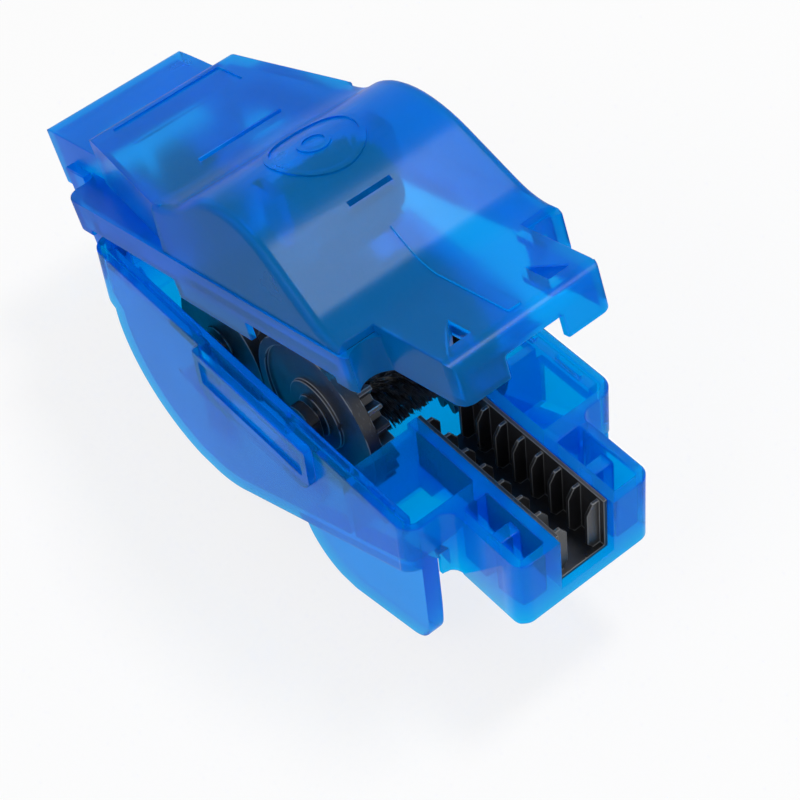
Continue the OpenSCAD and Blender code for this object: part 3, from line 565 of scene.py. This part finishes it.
def turned_tube(name, centre, profile):
    """A closed ring of profile points (radius, across), turned about the Y line through centre."""
    bm = bmesh.new()
    rings = []
    for i in range(SLEEVE_SIDES):
        a = 2 * math.pi * i / SLEEVE_SIDES
        rings.append([bm.verts.new((centre[0] + r * math.cos(a), centre[1] + y,
                                    centre[2] + r * math.sin(a))) for r, y in profile])
    for here, there in zip(rings, rings[1:] + rings[:1]):
        for j in range(len(profile)):
            k = (j + 1) % len(profile)
            bm.faces.new((here[j], there[j], there[k], here[k]))
    bmesh.ops.recalc_face_normals(bm, faces=bm.faces)
    mesh = bpy.data.meshes.new(name)
    bm.to_mesh(mesh)
    bm.free()
    mesh.polygons.foreach_set("use_smooth", [True] * len(mesh.polygons))
    mesh.set_sharp_from_angle(angle=CREASE_ANGLE)
    return mesh


# ---- bristles ------------------------------------------------------------------------------------


BRUSH_INPUTS = [
    ("Sleeve", "NodeSocketGeometry", None),
    ("Centre", "NodeSocketVector", (0.0, 0.0, 0.0)),
    ("Rows", "NodeSocketInt", 14),
    ("Columns", "NodeSocketInt", 8),
    ("Strands", "NodeSocketInt", 14),
    ("Root Radius", "NodeSocketFloat", 0.006),
    ("Tip Radius", "NodeSocketFloat", 0.012),
    ("Half Width", "NodeSocketFloat", 0.01),
    ("Tuft Radius", "NodeSocketFloat", 0.0007),
    ("Strand Radius", "NodeSocketFloat", 0.00011),
    ("Splay", "NodeSocketFloat", 0.8),
    ("Bend", "NodeSocketFloat", 0.0005),
    ("Seed", "NodeSocketInt", 1),
    ("Finish", "NodeSocketMaterial", None),
]


def random_value(tree, low, high, seed, x, y):
    """A random number for each strand."""
    made = place(tree, "FunctionNodeRandomValue", x, y, data_type="FLOAT")
    floats = [s for s in made.inputs if s.type == "VALUE" and s.enabled]
    floats[0].default_value, floats[1].default_value = low, high
    feed(tree, [s for s in made.inputs if s.name == "Seed"][0], seed)
    return [s for s in made.outputs if s.type == "VALUE" and s.enabled][0]


def combine(tree, a, b, c, x=0, y=0):
    """A vector from three numbers."""
    made = place(tree, "ShaderNodeCombineXYZ", x, y)
    for socket, given in zip(made.inputs, (a, b, c)):
        feed(tree, socket, given)
    return made.outputs[0]


def tufted_brush():
    """The node tree that sets tufts of bristles round a sleeve, every other column half a row
    further on."""
    found = bpy.data.node_groups.get("Tufted brush")
    if found:
        return found
    tree, source, sink = new_group("Tufted brush", BRUSH_INPUTS,
                                   [("Geometry", "NodeSocketGeometry")], "GeometryNodeTree")
    given = source.outputs
    per_row = reckon(tree, "MULTIPLY", given["Columns"], given["Strands"], -5, 3)
    points = place(tree, "GeometryNodePoints", -3, 4)
    feed(tree, points.inputs["Count"], reckon(tree, "MULTIPLY", per_row, given["Rows"], -4, 4))
    index = place(tree, "GeometryNodeInputIndex", -6, 5).outputs[0]
    tuft = reckon(tree, "FLOOR", reckon(tree, "DIVIDE", index, given["Strands"], -5, 5), x=-4, y=5)
    row = reckon(tree, "FLOOR", reckon(tree, "DIVIDE", tuft, given["Columns"], -3, 5), x=-2, y=5)
    column = reckon(tree, "FLOORED_MODULO", tuft, given["Columns"], -3, 6)
    odd = reckon(tree, "FLOORED_MODULO", column, 2.0, -2, 7)
    stagger = reckon(tree, "MULTIPLY", odd, 0.5, -1, 7)
    turn = reckon(tree, "DIVIDE", reckon(tree, "ADD", row, stagger, 0, 6), given["Rows"], 1, 6)
    angle = reckon(tree, "MULTIPLY", turn, 2 * math.pi, 2, 6)
    middle = reckon(tree, "ADD", column, 0.5, -2, 8)
    share = reckon(tree, "DIVIDE", middle, given["Columns"], -1, 8)
    widest = reckon(tree, "MULTIPLY", given["Tuft Radius"],
                    reckon(tree, "ADD", given["Splay"], 1.0, -4, 9), -3, 9)
    room = reckon(tree, "SUBTRACT", given["Half Width"], widest, -2, 9)
    both_ways = reckon(tree, "MULTIPLY_ADD", share, 2.0, 0, 8, c=-1.0)
    across = reckon(tree, "MULTIPLY", both_ways, room, 1, 8)
    heading = random_value(tree, 0.0, 2 * math.pi, given["Seed"], -3, 1)
    spread = reckon(tree, "SQRT", random_value(
        tree, 0.0, 1.0, reckon(tree, "ADD", given["Seed"], 1.0, -4, 0), -3, 0), x=-2, y=0)
    off = reckon(tree, "MULTIPLY", spread, given["Tuft Radius"], -1, 0)
    off_round = reckon(tree, "MULTIPLY", off, reckon(tree, "COSINE", heading, x=-2, y=1), 0, 1)
    off_across = reckon(tree, "MULTIPLY", off, reckon(tree, "SINE", heading, x=-2, y=2), 0, 2)
    cosine = reckon(tree, "COSINE", angle, x=3, y=6)
    sine = reckon(tree, "SINE", angle, x=3, y=5)
    outward = combine(tree, cosine, 0.0, sine, 4, 6)
    sideways = combine(tree, reckon(tree, "MULTIPLY", sine, -1.0, 4, 5), 0.0, cosine, 5, 5)

    def point_at(radius, widen, x, y):
        """A strand's point at radius, its place in the tuft widened."""
        offset = vector_of(tree, "SCALE", sideways,
                           scale=reckon(tree, "MULTIPLY", off_round, widen, x, y), x=x + 1, y=y)
        aside = reckon(tree, "MULTIPLY", off_across, widen, x, y - 1)
        level = reckon(tree, "ADD", across, aside, x + 1, y - 1)
        arm = vector_of(tree, "SCALE", outward, scale=radius, x=x + 1, y=y + 1)
        flat = vector_of(tree, "ADD", arm, offset, x=x + 2, y=y)
        rise = combine(tree, 0.0, level, 0.0, x + 2, y - 1)
        return vector_of(tree, "ADD", flat, rise, x=x + 3, y=y)

    root = point_at(given["Root Radius"], 1.0, 6, 3)
    cut = reckon(tree, "MULTIPLY", given["Tip Radius"], random_value(
        tree, 0.955, 1.0, reckon(tree, "ADD", given["Seed"], 2.0, 4, 0), 5, 0), 6, 0)
    tip = point_at(cut, reckon(tree, "ADD", given["Splay"], 1.0, 5, -1), 7, 0)
    run = vector_of(tree, "SUBTRACT", tip, root, x=11, y=2)
    tree.links.new(root, points.inputs["Position"])

    def keep(geometry, name, value, kind, x, y):
        """geometry with value kept at its points under name."""
        made = place(tree, "GeometryNodeStoreNamedAttribute", x, y,
                     data_type=kind, domain="POINT")
        tree.links.new(geometry, made.inputs["Geometry"])
        made.inputs["Name"].default_value = name
        feed(tree, [s for s in made.inputs if s.name == "Value" and s.enabled][0], value)
        return made.outputs["Geometry"]

    shaded = keep(points.outputs[0], "shade", random_value(
        tree, 0.0, 1.0, reckon(tree, "ADD", given["Seed"], 3.0, 8, 7), 9, 7), "FLOAT", 12, 4)
    leans = [random_value(tree, -1.0, 1.0, reckon(tree, "ADD", given["Seed"], 4.0 + i, 8, 8 + i),
                          9, 8 + i) for i in range(3)]
    leaning = keep(shaded, "lean", combine(tree, *leans, 10, 8), "FLOAT_VECTOR", 13, 4)
    strand = place(tree, "GeometryNodeMeshCone", 9, -3)
    set_inputs(strand, {"Vertices": 4, "Side Segments": 3, "Depth": 1.0})
    feed(tree, strand.inputs["Radius Bottom"], given["Strand Radius"])
    top_radius = reckon(tree, "MULTIPLY", given["Strand Radius"], 0.75, 8, -4)
    feed(tree, strand.inputs["Radius Top"], top_radius)
    height = place(tree, "ShaderNodeSeparateXYZ", 10, -4)
    tree.links.new(place(tree, "GeometryNodeInputPosition", 9, -4).outputs[0], height.inputs[0])
    strand_mesh = keep(strand.outputs["Mesh"], "along", height.outputs["Z"], "FLOAT", 11, -3)
    aim = place(tree, "FunctionNodeAlignRotationToVector", 12, 2, axis="Z")
    tree.links.new(run, aim.inputs["Vector"])
    length = vector_of(tree, "LENGTH", run, x=12, y=1)
    planted = place(tree, "GeometryNodeInstanceOnPoints", 14, 3)
    tree.links.new(leaning, planted.inputs["Points"])
    tree.links.new(strand_mesh, planted.inputs["Instance"])
    tree.links.new(aim.outputs[0], planted.inputs["Rotation"])
    tree.links.new(combine(tree, 1.0, 1.0, length, 13, 1), planted.inputs["Scale"])
    loose = place(tree, "GeometryNodeRealizeInstances", 15, 3)
    tree.links.new(planted.outputs[0], loose.inputs[0])

    def read(name, kind, x, y):
        """The kept attribute called name."""
        made = place(tree, "GeometryNodeInputNamedAttribute", x, y, data_type=kind)
        made.inputs["Name"].default_value = name
        return [s for s in made.outputs if s.name == "Attribute" and s.enabled][0]

    along = read("along", "FLOAT", 13, -1)
    squared = reckon(tree, "POWER", along, 2.0, 14, -1)
    curl = reckon(tree, "MULTIPLY", squared, given["Bend"], 15, -1)
    bent = place(tree, "GeometryNodeSetPosition", 16, 3)
    tree.links.new(loose.outputs[0], bent.inputs["Geometry"])
    lean = read("lean", "FLOAT_VECTOR", 14, -2)
    tree.links.new(vector_of(tree, "SCALE", lean, scale=curl, x=16, y=-1), bent.inputs["Offset"])
    moved = place(tree, "GeometryNodeTransform", 17, 3)
    tree.links.new(bent.outputs[0], moved.inputs["Geometry"])
    tree.links.new(given["Centre"], moved.inputs["Translation"])
    joined = place(tree, "GeometryNodeJoinGeometry", 18, 3)
    tree.links.new(moved.outputs[0], joined.inputs[0])
    tree.links.new(given["Sleeve"], joined.inputs[0])
    whole = place(tree, "GeometryNodeRealizeInstances", 19, 3)
    tree.links.new(joined.outputs[0], whole.inputs[0])
    painted = place(tree, "GeometryNodeSetMaterial", 20, 3)
    tree.links.new(whole.outputs[0], painted.inputs["Geometry"])
    tree.links.new(given["Finish"], painted.inputs["Material"])
    tree.links.new(painted.outputs[0], sink.inputs["Geometry"])
    return tree


def brush(name, node, axle, rows, core, reach, seed):
    """Bristle tufts on their sleeve, standing for a CAD brush; core and reach are the radii of
    the sleeve's bore and of the longest tips."""
    sizes = bpy.context.scene.cleaner_brushes
    low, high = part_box(axle)
    centre = (low + high) / 2
    half = (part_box(node)[1].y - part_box(node)[0].y) / 2
    thick = sizes.sleeve_wall
    nib = NIB_SHARE * thick
    bore = core + SLEEVE_PLAY
    profile = [(bore, -half), (core + thick - nib, -half), (core + thick, -half + nib),
               (core + thick, half - nib), (core + thick - nib, half), (bore, half)]
    piece = link_new(name, turned_tube(name, centre, profile))
    grown = piece.modifiers.new("Tufts", "NODES")
    tree = tufted_brush()
    grown.node_group = tree
    wanted = {
        "Centre": centre, "Rows": rows, "Columns": sizes.columns, "Strands": sizes.strands,
        "Root Radius": core + ROOT_SHARE * thick, "Tip Radius": reach - sizes.tip_room,
        "Half Width": half, "Tuft Radius": sizes.tuft_radius,
        "Strand Radius": sizes.strand_radius, "Splay": sizes.splay, "Bend": sizes.bend,
        "Seed": seed, "Finish": finish_of("Bristle nylon"),
    }
    for item in tree.interface.items_tree:
        if item.in_out == "INPUT" and item.name in wanted:
            value = wanted[item.name]
            grown[item.identifier] = tuple(value) if isinstance(value, Vector) else value
    bake(piece)
    return stand_for(piece, node)


# ---- sizes and colours a user may change ---------------------------------------------------------


def colour(name, default, description):
    """A colour property."""
    return FloatVectorProperty(name=name, description=description, default=default,
                               subtype="COLOR", size=3, min=0.0, max=1.0)


def factor(name, default, description):
    """A property from 0 to 1."""
    return FloatProperty(name=name, description=description, default=default,
                         min=0.0, max=1.0, subtype="FACTOR")


def small_length(name, default, low, high, description):
    """A short length property, in metres."""
    return FloatProperty(name=name, description=description, default=default,
                         min=low, max=high, unit="LENGTH", precision=5)


def amount(name, default, low, description):
    """A property from low upwards."""
    return FloatProperty(name=name, description=description, default=default, min=low)


def camera_angle(name, degrees, description):
    """An angle property."""
    return FloatProperty(name=name, description=description, default=math.radians(degrees),
                         subtype="ANGLE")


class CleanerFinish(bpy.types.PropertyGroup):
    """Colours and surface of the cleaner's plastics and steel."""

    housing_blue: colour("Housing blue", (0.0, 0.52, 0.95), "Tint of the clear housing")
    lid_blue: colour("Lid blue", (0.0, 0.4, 0.9), "Tint of the clear lid")
    # The edge blue is painted shading along the clear plastic's rounded edges.
    painted_edge_blue: colour("Edge blue", (0.0, 0.32, 0.88), "Colour of the clear plastic's edges")
    black: colour("Black", (0.012, 0.012, 0.014), "Colour of the wheels, hubs and combs")
    bristle_root: colour("Bristle root", (0.008, 0.008, 0.009), "Bristles' colour at the sleeve")
    bristle_tip: colour("Bristle tip", (0.05, 0.055, 0.06), "Bristles' colour at their tips")
    steel: colour("Steel", (0.62, 0.63, 0.65), "Colour of the axles and hinge pins")
    clearness: factor("Clearness", 0.8, "How much light the blue plastic lets through")
    housing_frost: factor("Housing frost", 0.14, "Roughness of the housing's plastic")
    lid_frost: factor("Lid frost", 0.27, "Roughness of the lid's plastic")


class CleanerEdges(bpy.types.PropertyGroup):
    """Widths of the rounding on the moulded edges."""

    shell: small_length("Shell edge", 0.00035, 0.0, 0.001, "Rounding on the shells' edges")
    comb: small_length("Comb edge", 0.00015, 0.0, 0.0005, "Rounding on the combs' fins")
    wheel: small_length("Wheel edge", 0.00018, 0.0, 0.0005, "Rounding on gears, hubs and blocks")
    pin: small_length("Pin edge", 0.00025, 0.0, 0.0006, "Rounding on the steel pins")


class CleanerBrushes(bpy.types.PropertyGroup):
    """Tufts of the three brushes."""

    columns: IntProperty(name="Columns", description="Tufts across each brush",
                         default=8, min=2, max=16)
    strands: IntProperty(name="Strands", description="Bristles in a tuft",
                         default=21, min=3, max=40)
    tuft_radius: small_length("Tuft radius", 0.001, 0.0002, 0.002, "Radius of a tuft at its root")
    strand_radius: small_length("Strand radius", 0.00014, 0.00005, 0.0004, "A bristle's radius")
    sleeve_wall: small_length("Sleeve wall", 0.0011, 0.0005, 0.002, "Thickness of the sleeve")
    tip_room: small_length("Tip room", 0.0003, 0.0, 0.001, "How far the tips stay inside the reach")
    splay: amount("Splay", 0.55, 0.0, "How much wider a tuft is at its tips")
    bend: small_length("Bend", 0.0003, 0.0, 0.002, "How far a tip leans at most")


class CleanerStage(bpy.types.PropertyGroup):
    """Camera and light."""

    azimuth: camera_angle("Azimuth", 55.61, "Camera's turn round the object")
    elevation: camera_angle("Elevation", 50.02, "Camera's angle above the table")
    roll: camera_angle("Roll", -7.01, "Camera's turn about its own line of sight")
    distance: amount("Distance", 0.4762, 0.1, "Metres from the camera to its aim")
    aim: FloatVectorProperty(name="Aim", description="Point that the camera looks at",
                             default=(0.0465, -0.0065, 0.046), subtype="TRANSLATION", size=3)
    focal: amount("Focal length", PHOTO_FOCAL / PHOTO_SIDE, 0.5, "Focal length in image sides")
    key: amount("Key light", 2.8, 0.0, "Power of the lamp overhead in watts")
    fill: amount("Fill light", 1.3, 0.0, "Power of the lamp beside the camera in watts")
    room: amount("Room light", 0.5, 0.0, "Strength of the light from all round")


# ---- operators -----------------------------------------------------------------------------------


class CLEANER_OT_housing(bpy.types.Operator):
    """Builds the clear blue lower housing"""

    bl_idname = "cleaner.housing"
    bl_label = "Housing"

    def execute(self, context):
        width = context.scene.cleaner_edges.shell
        moulded("base_shell", "housing_moulding", width, "Clear blue housing")
        return {"FINISHED"}


class CLEANER_OT_lid(bpy.types.Operator):
    """Builds the clear blue lid"""

    bl_idname = "cleaner.lid"
    bl_label = "Lid"

    def execute(self, context):
        width = context.scene.cleaner_edges.shell
        moulded("lid_shell", "lid_moulding", width, "Clear blue lid")
        return {"FINISHED"}


class CLEANER_OT_combs(bpy.types.Operator):
    """Builds the two black wiping combs"""

    bl_idname = "cleaner.combs"
    bl_label = "Combs"

    def execute(self, context):
        width = context.scene.cleaner_edges.comb
        moulded("front_comb", "front_comb_moulding", width, "Black comb moulding")
        moulded("rear_comb", "rear_comb_moulding", width, "Black comb moulding")
        return {"FINISHED"}


class CLEANER_OT_wheels(bpy.types.Operator):
    """Builds the gears, hubs, end discs and bearing blocks"""

    bl_idname = "cleaner.wheels"
    bl_label = "Wheels"

    def execute(self, context):
        width = context.scene.cleaner_edges.wheel
        for node in WHEEL_NODES:
            moulded(node, node + "_moulding", width, "Satin black moulding")
        return {"FINISHED"}


class CLEANER_OT_brushes(bpy.types.Operator):
    """Builds the three tufted brushes"""

    bl_idname = "cleaner.brushes"
    bl_label = "Brushes"

    def execute(self, context):
        for row in BRUSHES:
            brush(*row)
        return {"FINISHED"}


class CLEANER_OT_axles(bpy.types.Operator):
    """Builds the steel axles and hinge pins"""

    bl_idname = "cleaner.axles"
    bl_label = "Axles"

    def execute(self, context):
        width = context.scene.cleaner_edges.pin
        for node in STEEL_NODES:
            moulded(node, node + "_turned", width, "Turned steel")
        return {"FINISHED"}


def soft_lamp(name, power, size, where, towards):
    """Adds a square area lamp that shines from where towards a point."""
    lamp = bpy.data.lights.new(name, "AREA")
    lamp.energy = power
    lamp.size = size
    made = bpy.data.objects.new(name, lamp)
    made.location = where
    made.rotation_euler = (Vector(towards) - Vector(where)).to_track_quat("-Z", "Y").to_euler()
    bpy.context.scene.collection.objects.link(made)


def mixed_by(tree, share, first, second, x, y):
    """first to second shader output by share."""
    made = place(tree, "ShaderNodeMixShader", x, y)
    for socket, given in zip(made.inputs, (share, first, second)):
        tree.links.new(given, socket)
    return made.outputs[0]


def floor_finish():
    """White table paper: it shows as white, and keeps a soft part of the object's shadow."""
    made = bpy.data.materials.new("White paper")
    made.use_nodes = True
    tree = made.node_tree
    tree.nodes.clear()
    paper = place(tree, "ShaderNodeBsdfDiffuse", 0, 0)
    here = place(tree, "ShaderNodeTexCoord", -4, 0).outputs["Object"]
    fibre = noise(tree, here, 900.0, 3.0, -3, 0)
    tree.links.new(blend_colours(tree, fibre, (0.93, 0.93, 0.93), (0.88, 0.88, 0.88), -1, 0),
                   paper.inputs["Color"])
    white = place(tree, "ShaderNodeEmission", 0, -1)
    set_inputs(white, {"Strength": 1.0})
    path = place(tree, "ShaderNodeLightPath", -2, 3).outputs
    seen = reckon(tree, "MAXIMUM", path["Is Glossy Ray"], path["Is Transmission Ray"], 0, 3)
    direct = reckon(tree, "MULTIPLY", path["Is Camera Ray"], 0.8, 0, 2)
    seen = reckon(tree, "MAXIMUM", seen, direct, 1, 3)
    mixed = mixed_by(tree, seen, paper.outputs[0], white.outputs[0], 2, 0)
    sink = place(tree, "ShaderNodeOutputMaterial", 4, 0)
    tree.links.new(mixed, sink.inputs["Surface"])
    return made


def lay_floor():
    """The white floor just below the object's lowest point."""
    mesh = bpy.data.meshes.new("floor")
    signs = ((-1, -1), (1, -1), (1, 1), (-1, 1))
    mesh.from_pydata([(x * FLOOR_HALF, y * FLOOR_HALF, 0) for x, y in signs], [], [(0, 1, 2, 3)])
    mesh.materials.append(floor_finish())
    made = link_new("floor", mesh)
    made.location.z = -FLOOR_DROP


def room_light(strength):
    """Even light from all round, in a room that shows as white itself."""
    world = bpy.data.worlds.new("Studio room")
    bpy.context.scene.world = world
    world.use_nodes = True
    tree = world.node_tree
    tree.nodes.clear()
    path = place(tree, "ShaderNodeLightPath", -4, 0).outputs
    seen = reckon(tree, "MAXIMUM", path["Is Camera Ray"], path["Is Glossy Ray"], -3, 0)
    seen = reckon(tree, "MAXIMUM", seen, path["Is Transmission Ray"], -2, 0)
    room = place(tree, "ShaderNodeBackground", 0, 0)
    white = place(tree, "ShaderNodeBackground", 0, -1)
    set_inputs(room, {"Color": (1, 1, 1, 1), "Strength": strength})
    set_inputs(white, {"Color": (1, 1, 1, 1)})
    mixed = mixed_by(tree, seen, room.outputs[0], white.outputs[0], 1, 0)
    tree.links.new(mixed, place(tree, "ShaderNodeOutputWorld", 3, 0).inputs["Surface"])


def photo_camera(stage, aim):
    """The scene's camera, at the stage's angles and distance from aim."""
    a, e, r = stage.azimuth, stage.elevation, stage.roll
    back = Vector((math.sin(a) * math.cos(e), -math.cos(a) * math.cos(e), math.sin(e)))
    right = Vector((0, 0, 1)).cross(back).normalized()
    up = back.cross(right)
    across = right * math.cos(r) + up * math.sin(r)
    above = up * math.cos(r) - right * math.sin(r)
    data = bpy.data.cameras.new("photo_camera")
    data.sensor_width = SENSOR_MM
    data.lens = SENSOR_MM * stage.focal
    data.clip_start, data.clip_end = 0.01, 20.0
    camera = bpy.data.objects.new("photo_camera", data)
    turn = Matrix((across, above, back)).transposed().to_4x4()
    camera.matrix_world = Matrix.Translation(aim + back * stage.distance) @ turn
    bpy.context.scene.collection.objects.link(camera)
    bpy.context.scene.camera = camera


class CLEANER_OT_stage(bpy.types.Operator):
    """Sets the floor, lamps, room light and camera"""

    bl_idname = "cleaner.stage"
    bl_label = "Stage"

    def execute(self, context):
        stage = context.scene.cleaner_stage
        aim = Vector(stage.aim)
        lay_floor()
        room_light(stage.room)
        soft_lamp("overhead_lamp", stage.key, OVERHEAD_SIZE, OVERHEAD_LAMP, aim)
        soft_lamp("camera_lamp", stage.fill, CAMERA_LAMP_SIZE, CAMERA_LAMP, aim)
        photo_camera(stage, aim)
        context.scene.view_settings.view_transform = "Standard"
        return {"FINISHED"}


class CLEANER_PT_panel(bpy.types.Panel):
    """Lists the steps that build the cleaner, and the values they use"""

    bl_label = "Chain cleaner"
    bl_idname = "CLEANER_PT_panel"
    bl_space_type = "VIEW_3D"
    bl_region_type = "UI"
    bl_category = "Chain cleaner"

    def draw(self, context):
        for operator in STEPS:
            self.layout.operator(operator.bl_idname)
        for group in ("cleaner_finish", "cleaner_edges", "cleaner_brushes", "cleaner_stage"):
            box = self.layout.box()
            values = getattr(context.scene, group)
            for name in values.__annotations__:
                box.prop(values, name)


STEPS = (CLEANER_OT_stage, CLEANER_OT_housing, CLEANER_OT_lid, CLEANER_OT_combs,
         CLEANER_OT_wheels, CLEANER_OT_brushes, CLEANER_OT_axles)
GROUPS = {"cleaner_finish": CleanerFinish, "cleaner_edges": CleanerEdges,
          "cleaner_brushes": CleanerBrushes, "cleaner_stage": CleanerStage}


def register():
    for made in (*GROUPS.values(), *STEPS, CLEANER_PT_panel):
        bpy.utils.register_class(made)
    for name, group in GROUPS.items():
        setattr(bpy.types.Scene, name, PointerProperty(type=group))


def unregister():
    for name in GROUPS:
        delattr(bpy.types.Scene, name)
    for made in reversed((*GROUPS.values(), *STEPS, CLEANER_PT_panel)):
        bpy.utils.unregister_class(made)


def main():
    register()
    for step in (bpy.ops.cleaner.stage, bpy.ops.cleaner.housing, bpy.ops.cleaner.lid,
                 bpy.ops.cleaner.combs, bpy.ops.cleaner.wheels, bpy.ops.cleaner.brushes,
                 bpy.ops.cleaner.axles):
        step()


if __name__ == "__main__":
    main()
